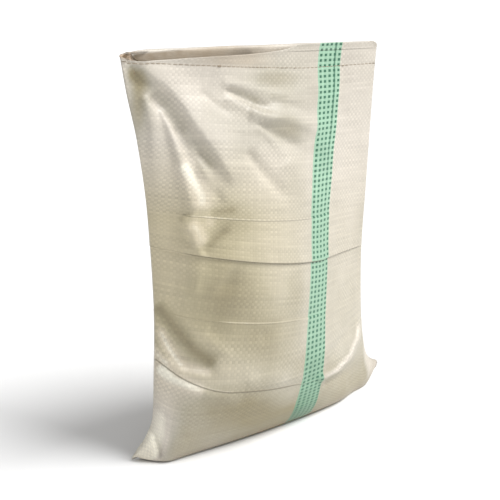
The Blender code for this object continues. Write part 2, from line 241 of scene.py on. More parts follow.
# Unevenness: height in mm, how much more of it in the slack upper part, size in x, y and z, seed.
RUMPLES = ((0.5, 0.9, (46, 60, 70), 3.1), (0.3, 0.3, (17, 30, 26), 7.7),
           (0.16, 0, (7, 12, 9), 1.9))
SLACK = (200, 330)

# Packing creases pressed into the cloth along a weft tape: level, then from where to where
# across the front, and how sharp it is, negative where the cloth below stands out.
MAIN_PRESS = 183
PRESSES = ((231.5, -0.62, 0.5, -0.35), (MAIN_PRESS, -1.2, 1.2, 1), (122.5, -0.66, 0.3, -0.45))
PRESS_OUT = (1.7, 14)  # the cloth just above one stands out, and fades over this height
PRESS_BACK = (0.6, 6)  # and just below it stands back
PRESS_SOFT = 0.1
RIM_CREASE = 407.7  # line pressed along the hem, right of the opening

# Levels of the rows up the wall, closer together at the packing creases and the rim.
WALL_ROWS = sorted(LEVEL_ROWS + TOP_ROWS + [press[0] + step for press in PRESSES for step in PRESS_ROWS])

# Crease across the foot, in cloth millimetres: u, then v, and how dark its painted shade is from 0 to 1.
FOOT_CREASE = ((60, 147), (75, 144.4), (98, 137.8), (119, 131.8), (148, 125.5), (183, 121.7), (242, 115.7),
               (277, 110.2), (316, 109.6), (333, 111.5), (350, 116.7), (363, 123.5), (380, 139))
FOOT_CREASE_DARK = 0.85

# Other creases darkened with painted shade: v, from and to along u, darkness.
SHADED_CREASES = ((MAIN_PRESS + WALL_V, 80, 285, 0.8), (MAIN_PRESS + WALL_V, -20, 390, 0.04),
                 (230.8 + WALL_V, 72, 268, 0.06), (122.3 + WALL_V, 76, 250, 0.10),
                 (RIM_CREASE + WALL_V, 205, 352, 0.2))

# Patches of painted shade on the cloth, and of painted light where the darkness is negative: middle
# and radii in photograph pixels, then how dark.
CORNER_PATCHES = (
    ((131, 72), (6, 9), 1.2), ((138, 82), (10, 14), 0.9), ((138, 108), (10, 32), 1.4),
)
UPPER_PATCHES = (
    ((290, 132), (26, 12), 0.6), ((285, 92), (46, 44), 0.8), ((215, 118), (18, 24), 0.5),
    ((242, 150), (24, 28), 0.45), ((318, 146), (12, 16), 0.3), ((190, 84), (30, 18), -0.2),
    ((345, 160), (26, 110), -0.25),
)
BELLY_PATCHES = (
    ((236, 216), (22, 24), 0.5), ((172, 262), (22, 45), -0.2), ((232, 298), (30, 30), 1),
    ((266, 345), (34, 30), 0.7),
)
FOOT_PATCHES = (
    ((163, 402), (13, 52), -1.2), ((188, 390), (18, 11), -0.7), ((242, 410), (46, 26), 0.9),
    ((345, 320), (22, 40), 0.4), ((143, 450), (15, 20), -3),
)
STRIPE_PATCHES = (
    ((297, 170), (13, 36), 0.5), ((297, 290), (12, 42), 0.5), ((275, 78), (26, 12), 0.5),
    ((308, 366), (26, 16), 0.5), ((294, 417), (15, 14), 0.6), ((324, 160), (9, 16), 0.5),
)
PAINTED_SHADING_PATCHES = CORNER_PATCHES + UPPER_PATCHES + BELLY_PATCHES + FOOT_PATCHES + STRIPE_PATCHES

# Painted shade along the flanks of the folds, and painted highlight along their ridges where the
# darkness is negative: lines of photograph pixels, half width in pixels, how dark.
UPPER_PAINTED_SHADING = (
    (((136, 66), (152, 88), (166, 104), (182, 126), (200, 150), (214, 172)), 8, 0.6),
    (((151, 98), (168, 126), (180, 152)), 3.5, -0.5),
    (((228, 90), (244, 95), (262, 103)), 4, 0.5),
    (((180, 160), (192, 178), (202, 196), (203, 212)), 8, -1.35),
    (((188, 221), (198, 230), (204, 248)), 7, -1.35),
    (((202, 222), (218, 223)), 5, -0.9),
    (((204, 249), (216, 238), (232, 226)), 4.5, 0.6),
    (((208, 214), (240, 209)), 4, 0.6),
)
LOWER_PAINTED_SHADING = (
    (((154, 302), (176, 330), (194, 350), (218, 366)), 7, 1.15),
    (((150, 334), (162, 350), (172, 362)), 2.5, 0.7),
    (((158, 326), (170, 350), (182, 366), (214, 373)), 3.5, -1.4),
    (((150, 344), (160, 357), (172, 367)), 2.2, -0.9),
    (((155, 365), (175, 380), (206, 392)), 5, -1.6),
    (((322, 378), (337, 370), (350, 356), (357, 338), (359, 322)), 1.7, -1.7),
)
STREAK_SOFT = 8  # pixels over which a streak sets in and fades out

# Tone of the cloth over the fill, and painted shade low on the wall, and the levels over which they
# fade. The ears are empty, up to these levels and shares of a half panel from the edge.
FILL_TONE = 0.55
FILL_FADE = (215, 300)
LOW_PAINTED_SHADE = 0.7
LOW_FADE = (5, 80)
EAR_FADE = (25, 55)
EAR_ZONE = (0.02, 0.07)

# Level of the rim across each panel. The front hem is folded in lower at the left.
FRONT_RIM = ((-1, -0.96, -0.9, -0.8, -0.7, -0.6, -0.5, -0.4, -0.3, -0.1, 0.1, 0.2, 0.3, 0.95, 0.98, 1),
             (398, 391.5, 391.5, 393.5, 395.5, 398.5, 400.7, 402.3, 403.8, 405.5, 407.9, 410.3, 415, 415,
              413.2, 409))
BACK_RIM = ((-1, -0.95, -0.88, 0.95, 0.98, 1), (398, 408, 415, 415, 413.2, 409))
RIM_FROM = 300  # the rows above this level follow the rim
RIM_ROLL = 1.2  # how far the rolled rim stands out, and over what height
RIM_ROLL_HALF = 3.4
STITCH_GROOVE = (0.7, HEIGHT - HEM_DEPTH, 1.8)
PANEL_GAP = 0.9  # least distance of the folded cloth from the plane of the side edges

# The hem inside the rim: how deep it ends, its share of that at the side edges, and how far it
# lies inside the outer cloth, at the rim and further down.
HEM_END = HEIGHT + HEM_DEPTH
HEM_EDGE_SHARE = 0.12
HEM_EDGE_ZONE = (0.06, 0.11)
HEM_INSET = (1.4, 0, 2.2)
HEM_SAG = (0.5, 8, 28)

# The left end of the mouth: how far the back hem rolls over to the front, and small gathers.
CORNER_CURL = 7
CURL_LEVELS = (402, 414)
GATHER = (1.6, -1, 0.11)  # height, place and half width across
GATHER_LEVELS = (380, 402)
GATHER_PITCH = 5.5
GATHER_SLANT = 0.35
CRUMPLE = (3, -1, 0.13)
CRUMPLE_LEVELS = (376, 398)
CRUMPLE_NOISE = ((5, 6, 8), 9.4)

# Threads: pitch, length and radius of a stitch, and how it is built up.
HEM_STITCH = (6.2, 5.2, 0.4)
HEM_STITCH_DROP = 2.8  # least distance below the rim
HEM_STITCH_OUT = 0.3
SEAM_STITCH = (7, 6.2, 0.55)
SEAM_THREAD_AT = (0, 0.25, -1)  # from the seam
STITCH_END = 0.35  # share of the radius at its two ends
STITCH_AHEAD = 0.3
STITCH_SPANS = 6
HEM_KNOT = 17  # the hem stitch that ends in a small knot
KNOT = 2.6  # and how much thicker it is

# The sand inside: its foot, top and heap, how far it stays off the cloth, and the shares of its
# outline in the rings of its underside and its top.
SAND_FOOT = 5
SAND_TOP = 255
SAND_HEAP = 16
SAND_GAP = 2.4
SAND_FLOOR = CLOTH + 0.8
SAND_SIDE = 0.965
SAND_UNDER = (0.3, 0.6, 0.85, 0.96)
SAND_OVER = (0.94, 0.86, 0.77, 0.67, 0.56, 0.45, 0.34, 0.23, 0.12, 0.03)
SAND_BUMPS = 2.2
SAND_NOISE = ((22, 18, 22), 5.3)


def curve(xs, ys, x):
    """Monotone cubic curve through the points of a profile, for an array of places."""
    xs = np.asarray(xs, float)
    ys = np.asarray(ys, float)
    h = np.diff(xs)
    d = np.diff(ys) / h
    m = np.zeros(len(xs))
    m[0] = d[0]
    m[-1] = d[-1]
    for i in range(1, len(xs) - 1):
        if d[i - 1] * d[i] > 0:
            w1 = 2 * h[i] + h[i - 1]
            w2 = h[i] + 2 * h[i - 1]
            m[i] = (w1 + w2) / (w1 / d[i - 1] + w2 / d[i])
    x = np.clip(x, xs[0], xs[-1])
    i = np.clip(np.searchsorted(xs, x) - 1, 0, len(h) - 1)
    t = (x - xs[i]) / h[i]
    a = (1 + 2 * t) * (1 - t) ** 2
    b = t * (1 - t) ** 2
    c = t * t * (3 - 2 * t)
    e = t * t * (t - 1)
    return a * ys[i] + b * h[i] * m[i] + c * ys[i + 1] + e * h[i] * m[i + 1]


def ramp(x, low, high):
    """Smooth step from 0 at low to 1 at high."""
    t = np.clip((np.asarray(x, float) - low) / (high - low), 0, 1)
    return t * t * (3 - 2 * t)


def hill(x, middle, half):
    """1 at the middle, falling off smoothly on both sides."""
    return np.exp(-((x - middle) / half) ** 2)


def bump(x, size, middle, half):
    """A hill of a size."""
    return size * hill(x, middle, half)


def belly(q, level, front):
    """Distance of a panel from the plane of the side edges."""
    r = np.maximum(1 - q * q, 0)
    if front:
        body = curve(LEVELS, FRONT_BELLY, level) * r ** curve(LEVELS, FRONT_POWER, level)
        body = body * (1 - curve(LEVELS, FRONT_SKEW, level) * q)
        corner = bump(q, *CORNER_OUT) * r ** 0.5 / 0.4
        corner = corner - bump(q, *CORNER_IN)
        body = body + corner * (1 - ramp(level, *CORNER_FADE))
        lip = FRONT_LIP * r + MOUTH_GAP * (hill(q, *MOUTH) * r ** 0.5)
    else:
        body = curve(LEVELS, BACK_BELLY, level) * r ** BACK_POWER
        lip = BACK_LIP * r
    w = ramp(level, HEIGHT - LIP_BLEND, HEIGHT)
    return body * (1 - w) + lip * w


def across(q, left, right):
    """A place between two side edges."""
    return 0.5 * (left + right) + 0.5 * (right - left) * q


def edge_height(z, rise):
    """Height of a side edge where the middle of the sack is at a height z."""
    return z + rise * np.exp(-z / RISE_FADE)


def outline(q, g, zm, front):
    """Points of the standing sack: q across a panel, g out under it, zm up its wall."""
    floor = g < 1
    left_z = np.where(floor, LEFT_TIP + LEFT_EAR * g, edge_height(zm, LEFT_RISE))
    right_z = np.where(floor, RIGHT_TIP + RIGHT_EAR * g, edge_height(zm, RIGHT_RISE))
    right_x = curve(RIGHT_Z, RIGHT_X, right_z)
    x = across(q, curve(LEFT_Z, LEFT_X, left_z), right_x)
    edge_y = across(q, curve(LEFT_Z, LEFT_Y, left_z), curve(RIGHT_Z, RIGHT_Y, right_z))
    k = np.clip((np.abs(q) - (1 - EDGE_ZONE)) / EDGE_ZONE, 0, 1)
    low = 1 - ramp(zm, *BEND_FADE)
    left_k = k ** (LEFT_BEND[0] + LEFT_BEND[1] * low)
    right_k = k ** (RIGHT_BEND[0] + RIGHT_BEND[1] * low)
    k = np.where(q < 0, left_k, right_k)
    z = zm + (np.where(q < 0, left_z, right_z) - zm) * k
    t = np.clip((q - (1 - NECK_ZONE)) / NECK_ZONE, 0, 1)
    x = x - np.clip(right_x - RIGHT_EAR_NECK, 0, None) * (t - t ** 2.4)
    share = np.maximum(g, 0) ** 0.9
    body = belly(q, np.where(floor, 0, zm), front) * share
    under = np.clip(BASE_ROUND - zm, 0, BASE_ROUND) / BASE_ROUND
    rounding = BASE_ROUND * (1 - np.sqrt(1 - under * under)) * g ** 3 * (1 - k)
    rounding = rounding * np.clip(body / 30, 0, 1)
    reach = np.maximum(LEAST_DEPTH + body - rounding, LEAST_DEPTH)
    if front:
        full = bump(q, *LEFT_FILL) * (1 - ramp(zm, *LEFT_FILL_FADE))
        reach = reach + full * share
    z = z + ramp(zm, HEIGHT - 40, HEIGHT) * RIM_LIFT * 0.5 * (1 - q)
    return np.stack((x, edge_y - reach if front else edge_y + reach, z), axis=-1)


def weft_rise(q, level, front):
    """How far a weft tape is lifted above its level at the stripe."""
    amount = curve(TILT_LEVEL, TILT, level)
    if front:
        right = RIGHT_DROP * ramp(level, *RIGHT_DROP_IN) * (1 - ramp(level, *RIGHT_DROP_OUT))
        left_of = np.clip((TILT_END - q) / (1 + TILT_END), 0, 1)
        right_of = np.clip((q - TILT_END) / (1 - TILT_END), 0, 1)
        return amount * left_of ** 1.1 - right * right_of ** 1.3
    return amount * np.clip((1 - q) / 2, 0, 1) ** 1.5


def wall(q, level, front):
    """Points of the wall of the sack at a level measured along the weft tapes."""
    return outline(q, np.ones_like(q), level + weft_rise(q, level, front), front)


def wall_normal(q, level, front):
    """Outward directions of the wall."""
    dq = 0.004
    dl = 1.5
    side = wall(np.clip(q + dq, -1, 1), level, front) - wall(np.clip(q - dq, -1, 1), level, front)
    up = wall(q, level + dl, front) - wall(q, np.maximum(level - dl, 0.5), front)
    n = np.cross(side, up)
    n = n / np.maximum(np.linalg.norm(n, axis=-1, keepdims=True), 1e-9)
    return n if front else -n


def side_plane(q, level):
    """Where the two panels would meet, y, between the two side edges."""
    z = level + weft_rise(q, level, True)
    left = curve(LEFT_Z, LEFT_Y, edge_height(z, LEFT_RISE))
    return across(q, left, curve(RIGHT_Z, RIGHT_Y, edge_height(z, RIGHT_RISE)))


def pixels(p):
    """Where points land in the photograph, in pixels."""
    s, c = math.sin(CAMERA_YAW), math.cos(CAMERA_YAW)
    sp, cp = math.sin(CAMERA_PITCH), math.cos(CAMERA_PITCH)
    d = p - CAMERA_AT
    depth = d @ np.array((s * cp, c * cp, -sp))
    right = d @ np.array((c, -s, 0))
    up = d @ np.array((s * sp, c * sp, cp))
    return 0.5 * IMAGE_PX + FOCAL_PX * right / depth, 0.5 * IMAGE_PX - FOCAL_PX * up / depth


def line_field(u, v, points):
    """Distance in pixels from a line, positive to its lower left, share along it, and its length."""
    best = np.full(u.shape, 1e9)
    side = np.ones(u.shape)
    along = np.zeros(u.shape)
    done = 0
    for (u0, v0), (u1, v1) in zip(points[:-1], points[1:]):
        length = math.dist((u0, v0), (u1, v1))
        du = (u1 - u0) / length
        dv = (v1 - v0) / length
        t = np.clip((u - u0) * du + (v - v0) * dv, 0, length)
        ou = u - u0 - t * du
        ov = v - v0 - t * dv
        gap = np.hypot(ou, ov)
        near = gap < best
        best = np.where(near, gap, best)
        side = np.where(near, np.where(du * ov - dv * ou > 0, 1, -1), side)
        along = np.where(near, done + t, along)
        done += length
    return best * side, along / done, done


def traced_folds(p, folds):
    """Height of traced folds at points of the front, in mm."""
    u, v = pixels(p)
    rise = np.zeros(u.shape)
    for points, (half, half_end), (height, height_end), lean in folds:
        gap, t, length = line_field(u, v, points)
        half = (half + (half_end - half) * t) * (1 - lean * np.sign(gap))
        height = height + (height_end - height) * t
        height = height * ramp(t * length, 0, FOLD_START) * ramp((1 - t) * length, 0, FOLD_FADE)
        rise += FOLD_GAIN * height * hill(gap, 0, half)
    return rise


def rumple(p, size, seed):
    """Soft noise at each point, about -1 to 1."""
    flat = p.reshape(-1, 3)
    out = [noise.noise(Vector((x / size[0] + seed, y / size[1], z / size[2]))) for x, y, z in flat]
    return np.array(out).reshape(p.shape[:-1])


def packing_crease(q, above, first, last):
    """Shape of a packing crease, in mm over heights above its line, and its reach across."""
    step = np.where(above > 0, PRESS_OUT[0] * np.exp(-above / PRESS_OUT[1]),
                    -PRESS_BACK[0] * np.exp(above / PRESS_BACK[1]))
    begun = ramp(q, first - PRESS_SOFT, first + PRESS_SOFT)
    ended = ramp(q, last - PRESS_SOFT, last + PRESS_SOFT)
    return step, begun * (1 - ended)


def mouth_corner(p, q, level):
    """Height of the gathers and crumples at the left end of the mouth, in mm."""
    crumple = bump(q, *CRUMPLE) * ramp(level, *CRUMPLE_LEVELS) * rumple(p, *CRUMPLE_NOISE)
    gather = bump(q, *GATHER) * ramp(level, *GATHER_LEVELS)
    ripple = np.sin(2 * math.pi * (p[..., 0] - GATHER_SLANT * p[..., 2]) / GATHER_PITCH)
    return (gather * ripple + crumple) * ramp(q, -1, -0.97)


def fold_height(p, q, level, front):
    """Height of the folds over the plain outline, in mm."""
    if front:
        rise = traced_folds(p, FOLDS)
        dent = traced_folds(p, [EAR_DENT]) * ramp(level, 0.5, 6)
    else:
        rise = np.zeros(q.shape)
        dent = 0
        for height, middle, drift, half, low, high in BACK_FOLDS:
            fold = bump(q - middle, height, drift * (level - BACK_FOLD_LEVEL), half)
            rise += fold * ramp(level, low, high)
    for press, first, last, sharp in PRESSES:
        step, reach = packing_crease(q, level - press, first, last)
        rise += sharp * step * (reach if front else 1)
    slack = ramp(level, *SLACK)
    for height, more, size, seed in RUMPLES:
        rise += (height + more * slack) * rumple(p, size, seed)
    rise = rise * ramp(level, 4, 26)
    return rise * (1 - np.abs(q) ** 12) + dent * (1 - q ** 60) + mouth_corner(p, q, level)


def rim_level(q, front):
    """Level where a panel turns down inside the mouth."""
    return curve(*(FRONT_RIM if front else BACK_RIM), q)


def surface(q, level, front):
    """Outside of the finished cloth at a level measured along its weft tapes."""
    p = wall(q, level, front)
    roll = bump(level, RIM_ROLL, rim_level(q, front), RIM_ROLL_HALF)
    rise = fold_height(p, q, level, front) + roll - bump(level, *STITCH_GROOVE)
    p = p + wall_normal(q, level, front) * rise[..., None]
    plane = side_plane(q, level)
    least = PANEL_GAP * (1 - q ** 8)
    if front:
        p[..., 1] = np.minimum(p[..., 1], plane - least)
    else:
        p[..., 1] = np.maximum(p[..., 1], plane + least)
        curl = CORNER_CURL * ramp(level, *CURL_LEVELS) * (1 - ramp(q, -0.9, -0.78))
        p[..., 1] -= curl * ramp(q, -1, -0.95)
    return p


def both_sides(q, levels, out):
    """Lines across the front and back to the front's left, off the cloth by a distance."""
    lines = []
    for level, front in zip(levels, (True, False)):
        p = surface(q, level, front) + wall_normal(q, level, front) * out
        lines.append(p if front else p[::-1])
    return lines


def hem_layer(p, q, at, inside, front):
    """Points of the hem: inside the outer cloth p, and on its own side of the side plane."""
    inset = HEM_INSET[0] * ramp(inside, *HEM_INSET[1:]) + HEM_SAG[0] * ramp(inside, *HEM_SAG[1:])
    inner = p - wall_normal(q, at, front) * inset[..., None]
    plane = side_plane(q, at)
    if front:
        inner[..., 1] = np.minimum(inner[..., 1], plane)
    else:
        inner[..., 1] = np.where(p[..., 1] > plane, np.maximum(inner[..., 1], plane), inner[..., 1])
    return inner


def panel(q_line, front):
    """Grid of points of one panel from seam to hem, with its levels and its reach from the seam."""
    q, g = np.meshgrid(q_line, np.linspace(0, 1, UNDER_ROWS + 1)[:-1])
    under = outline(q, g, SEAM_LIFT * (1 - ramp(g, 0.12, 0.32)), front)
    under[..., 2] += CLOTH * np.exp(-((q + 0.87) / 0.1) ** 4)
    rim = rim_level(q_line, front)[None, :]
    rows = np.array(WALL_ROWS)[:, None]
    up = rows + (rim - HEIGHT) * np.clip((rows - RIM_FROM) / (HEIGHT - RIM_FROM), 0, 1)
    share = HEM_EDGE_SHARE + (1 - HEM_EDGE_SHARE) * ramp(1 - np.abs(q_line), *HEM_EDGE_ZONE)
    down = rim + np.array(HEM_ROWS)[:, None] * ((HEM_END - rim) * share)
    level = np.concatenate((up, down))
    at = np.minimum(level, 2 * rim - level)
    q = np.broadcast_to(q_line, level.shape)
    p = surface(q, at, front)
    inside = np.clip(level - rim, 0, None)
    p = np.where((inside > 0)[..., None], hem_layer(p, q, at, inside, front), p)
    level = np.concatenate((g * 0, level))
    g = np.concatenate((g, np.ones(p.shape[:2])))
    return np.concatenate((under, p)), level, g


def low_cloth(level):
    """Extra length of cloth taken up where the foot of the sack turns under."""
    t = np.clip((level - FOOT_LOW) / (FOOT_HIGH - FOOT_LOW), 0, 1)
    taken = np.minimum(level, FOOT_LOW) + (FOOT_HIGH - FOOT_LOW) * (t - t ** 3 + 0.5 * t ** 4)
    return FOOT_EXTRA * taken


def cloth_lengths(rows, level, g, q_line, front, ends=None):
    """Cloth coordinates in mm: round the tube from the left edge, and up from the seam."""
    step = np.linalg.norm(np.diff(rows, axis=1), axis=2)
    along = np.concatenate((np.zeros((len(rows), 1)), np.cumsum(step, axis=1)), axis=1)
    if front:
        offset = rows[..., 0] - curve(STRIPE_Z, STRIPE_X, np.clip(rows[..., 2], STRIPE_Z[0], STRIPE_Z[-1]))
        u = np.zeros_like(along)
        for i in range(len(rows)):
            middle = np.interp(0, offset[i], along[i])
            height = np.interp(middle, along[i], rows[i, :, 2])
            near = np.clip(along[i] - middle, -STRIPE_HALF, STRIPE_HALF)
            u[i] = STRIPE_U + along[i] - middle - near * (1 - 1 / curve(STRETCH_Z, STRETCH, height))
        u[:UNDER_ROWS] = u[UNDER_ROWS]
        return u, UNDER_V * g + level + low_cloth(level)
    share = along / along[:, -1:]
    left = ends[:, :1] + 2 * FLAT_WIDTH
    right = ends[:, 1:]
    r = np.maximum(1 - q_line * q_line, 0)[None, :]
    v = (UNDER_V + UNDER_BACK * r ** BACK_POWER) * g + level + low_cloth(level)
    return left * (1 - share) + right * share, v


def cloth_tone(rows, level, q_line, front):
    """How dark the cloth is at each point: the fill shows through it, the ears are empty, painted shade
    darkens it low on the wall, and patches and streaks of painted shade and painted highlight lie on the
    front.
    """
    backed = 1 - ramp(level, *FILL_FADE)
    ear = (1 - ramp(level, *EAR_FADE)) * (1 - ramp(1 - np.abs(q_line)[None, :], *EAR_ZONE))
    tone = (FILL_TONE * backed + LOW_PAINTED_SHADE * (1 - ramp(level, *LOW_FADE))) * (1 - ear)
    if front:
        u, v = pixels(rows)
        # painted shade and painted light from the patches and the streaks
        for (u0, v0), (ru, rv), dark in PAINTED_SHADING_PATCHES:
            tone = tone + dark * np.exp(-((u - u0) / ru) ** 2 - ((v - v0) / rv) ** 2)
        for points, half, dark in UPPER_PAINTED_SHADING + LOWER_PAINTED_SHADING:
            gap, t, length = line_field(u, v, points)
            ends = ramp(t * length, 0, STREAK_SOFT) * ramp((1 - t) * length, 0, STREAK_SOFT)
            tone = tone + dark * ends * hill(gap, 0, half)
    return tone


def spaced(n):
    """Places across a panel from -1 to 1, closer together towards its side edges."""
    i = np.arange(n + 1)
    return -np.cos(math.pi * i / n) * CROWDING + (2 * i / n - 1) * (1 - CROWDING)


def add_object(name, data):
    obj = bpy.data.objects.new(name, data)
    bpy.context.collection.objects.link(obj)
    return obj


def mesh_object(name, verts, faces):
    """A smooth mesh object in the scene."""
    mesh = bpy.data.meshes.new(name)
    mesh.from_pydata(verts, [], faces)
    mesh.update()
    mesh.shade_smooth()
    return add_object(name, mesh)


def ring_faces(rows, count):
    """Quads between closed rings of points."""
    return [(r * count + c, r * count + d, (r + 1) * count + d, (r + 1) * count + c)
            for r in range(rows - 1) for c, d in zip(range(count), [*range(1, count), 0])]


def in_metres(rows):
    """Points of the outline's own frame in the shared frame, in metres, as one list."""
    return [tuple(v) for v in ((rows - SHIFT) / PER_METRE).reshape(-1, 3)]


def build_cloth():
    """The woven tube with its sewn bottom and folded hem, as one sheet."""
    q_front = spaced(ACROSS_FRONT)
    q_back = spaced(ACROSS_BACK)
    front_rows, front_level, front_g = panel(q_front, True)
    back_rows, back_level, back_g = panel(q_back, False)
    edge = 0.5 * (front_rows[:, (0, -1)] + back_rows[:, (0, -1)])
    front_rows[:, (0, -1)] = edge
    back_rows[:, (0, -1)] = edge
    u_front, v_front = cloth_lengths(front_rows, front_level, front_g, q_front, True)
    u_back, v_back = cloth_lengths(back_rows, back_level, back_g, q_back, False, u_front[:, (0, -1)])
    ring = np.concatenate((front_rows, back_rows[:, -2:0:-1]), axis=1)
    u_ring = np.concatenate((u_front, u_back[:, ::-1]), axis=1)
    v_ring = np.concatenate((v_front, v_back[:, ::-1]), axis=1)
    tone_front = cloth_tone(front_rows, front_level, q_front, True)
    tone_back = cloth_tone(back_rows, back_level, q_back, False)
    tone_ring = np.concatenate((tone_front, tone_back[:, -2:0:-1]), axis=1)
    rows, count = ring.shape[:2]
    obj = mesh_object("woven_cloth", in_metres(ring), ring_faces(rows, count))
    col = np.arange(count)
    col = col + (col >= ACROSS_FRONT)
    uv = np.stack((u_ring, v_ring), axis=-1).astype(np.float32)
    weave = np.stack((uv[:-1, col], uv[:-1, col + 1], uv[1:, col + 1], uv[1:, col]), axis=2)
    obj.data.uv_layers.new(name="weave").data.foreach_set("uv", weave.ravel())
    # the tone carries painted shade and highlight as well as the fill showing through
    tone = obj.data.attributes.new("tone", "FLOAT", "POINT")
    tone.data.foreach_set("value", tone_ring.astype(np.float32).ravel())
    solid = obj.modifiers.new("cloth_thickness", "SOLIDIFY")
    solid.thickness = CLOTH / PER_METRE
    solid.offset = -1
    return obj


def shift():
    """From the outline's own origin to the frame's, in mm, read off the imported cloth's box."""
    low, high = (np.array(c) * PER_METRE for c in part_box("sack_fabric"))
    q, z = np.meshgrid(np.linspace(-1, 1, 81), np.linspace(2.5, HEIGHT, 120))
    back = outline(q, np.ones_like(q), z, False)[..., 1].max() + PART_OUT
    return np.array((LEFT_X[0] - low[0], back - high[1], 0))


SHIFT = shift()


class Graph:
    """Short names for building a material's nodes."""

    def __init__(self, name):
        self.mat = bpy.data.materials.new(name)
        self.mat.use_nodes = True
        self.tree = self.mat.node_tree
        self.shader = self.tree.nodes["Principled BSDF"]

    def node(self, kind, **settings):
        made = self.tree.nodes.new("ShaderNode" + kind)
        for key, value in settings.items():
            setattr(made, key, value)
        return made

    def link(self, a, b):
        self.tree.links.new(a, b)

    def feed(self, socket, value):
        """A number, a colour or another node's output into a socket."""
        if isinstance(value, (int, float)):
            socket.default_value = value
        elif isinstance(value, tuple):
            socket.default_value = (*value, 1)
        else:
            self.link(value, socket)

    def put(self, made, **values):
        """These into the inputs of a node. Their names have _ for a space."""
        for name, value in values.items():
            self.feed(made.inputs[name.replace("_", " ")], value)
        return made

    def place(self):
        return self.node("TexCoord").outputs["Object"]

    def math(self, op, *values, clamp=False):
        made = self.node("Math", operation=op, use_clamp=clamp)
        for socket, value in zip(made.inputs, values):
            self.feed(socket, value)
        return made.outputs[0]

    def plus(self, a, b):
        return self.math("ADD", a, b)

    def minus(self, a, b, clamp=False):
        return self.math("SUBTRACT", a, b, clamp=clamp)

    def times(self, a, b, clamp=False):
        return self.math("MULTIPLY", a, b, clamp=clamp)

    def scaled(self, value, by, base):
        """by x value + base"""
        return self.plus(self.times(value, by), base)

    def rise(self, value, start, span):
        """0 up to a start, then up to 1 over a span."""
        return self.math("DIVIDE", self.minus(value, start), span, clamp=True)

    def line(self, value, middle, half):
        """1 on a line, falling to 0 at half its width away."""
        gap = self.math("ABSOLUTE", self.minus(value, middle))
        return self.minus(1, self.math("DIVIDE", gap, half), clamp=True)

    def between(self, value, low, high, soft):
        """1 from low to high, with soft ends."""
        fall = self.math("DIVIDE", self.minus(high, value), soft, clamp=True)
        return self.times(self.rise(value, low, soft), fall)

    def vector(self, x, y):
        made = self.node("CombineXYZ")
        self.link(x, made.inputs[0])
        self.link(y, made.inputs[1])
        return made.outputs[0]

    def mix(self, factor, a, b, blend="MIX"):
        made = self.node("Mix", data_type="RGBA", blend_type=blend)
        self.feed(made.inputs[0], factor)
        self.feed(made.inputs[6], a)
        self.feed(made.inputs[7], b)
        return made.outputs[2]

    def profile(self, value, points):
        """A smooth curve through points of (value, result)."""
        xs = [p[0] for p in points]
        ys = [p[1] for p in points]
        wide = max(xs) - min(xs)
        tall = max(ys) - min(ys)
        made = self.node("FloatCurve")
        places = made.mapping.curves[0].points
        while len(places) < len(points):
            places.new(0.5, 0.5)
        for place, (x, y) in zip(places, points):
            place.location = ((x - min(xs)) / wide, (y - min(ys)) / tall)
        made.mapping.update()
        self.link(self.rise(value, min(xs), wide), made.inputs["Value"])
        return self.scaled(made.outputs[0], tall, min(ys))

    def texture(self, kind, vector, **values):
        return self.put(self.node("Tex" + kind), Vector=vector, **values).outputs

    def noise(self, vector, scale, detail=2):
        return self.texture("Noise", vector, Scale=scale, Detail=detail)["Fac"]

    def blotches(self, vector, scale, detail, start, gain):
        """Patches of noise, from 0 to 1 where it passes a start."""
        return self.times(self.minus(self.noise(vector, scale, detail), start), gain, clamp=True)

    def bump(self, height, strength, distance, normal=None):
        made = self.put(self.node("Bump"), Strength=strength, Distance=distance, Height=height)
        if normal is not None:
            self.link(normal, made.inputs["Normal"])
        return made.outputs["Normal"]

    def finish(self, **values):
        """The material, with these as inputs of its shader."""
        self.put(self.shader, **values)
        return self.mat


# Colours, linear.
# pale empty cloth, and painted highlight where the tone is below PALE_BELOW
PALE = (0.89, 0.85, 0.72)
CREAM = (0.62, 0.57, 0.495)
CREAM_BACKED = (0.625, 0.55, 0.40)
BEIGE = (0.46, 0.427, 0.35)
BEIGE_BACKED = (0.47, 0.415, 0.27)
SHADOWED = (0.29, 0.248, 0.15)
# dust, and painted shade inside the mouth
DUST_AND_SHADE = (0.27, 0.20, 0.125)
# soiling, and painted shade on the hem and inside the mouth
SOILED_AND_SHADE = (0.43, 0.345, 0.245)
# painted shade in the creases
CREASE_SHADE = (0.17, 0.145, 0.095)
# rust at the mouth's left corner, with painted shade in its crumples
STAIN_AND_SHADE = (0.24, 0.155, 0.08)
# rust, with painted highlight on its crumples
RUST_CREAM_HIGHLIGHT = (0.72, 0.54, 0.38)
GREEN = (0.03, 0.13, 0.075)
MINT = (0.28, 0.56, 0.38)
# darker than the thread itself: painted shade of the groove it lies in
SHADED_HEM_THREAD = (0.42, 0.34, 0.25)
SEAM_THREAD = (0.62, 0.57, 0.48)
SAND_LIGHT = (0.50, 0.38, 0.24)
SAND_DARK = (0.36, 0.27, 0.17)
FLOOR_LIGHT = (0.86, 0.86, 0.86)
FLOOR_DARK = (0.84, 0.84, 0.84)

# Looks of the weave. Pairs with U or V in their name are a start and a span in cloth mm, and
# threes are both ends and their softness. Other pairs are a factor and a base. Blotches of noise
# have a scale, a detail, a start and a gain, and bumps a strength and a distance.
TAPE_FLATNESS = 0.35
EVEN_BASE = 4000  # an even number that keeps the tape numbers positive
PLAIN_TONE = 0.12
CLOUD_TONE = 1.2
FINE_SCALE = 70
UNBACKED_U = (130, 120)
BACKED = (0.8, 0.2)
BACKED_V = (90, 378, 90)
SHADOWED_FROM = 0.9  # tone above which the cloth turns to its shadowed colour
# tone below which the cloth turns pale, which is painted highlight
PALE_BELOW = -0.3
TAPE_SHADE = (0.08, 0.94)
PATCHY = (22, 1, 0.42, 5)
# checks of painted sheen: warp and weft cells lighter and darker in turn
SHEEN_CHECKS = (0.08, 0.045)
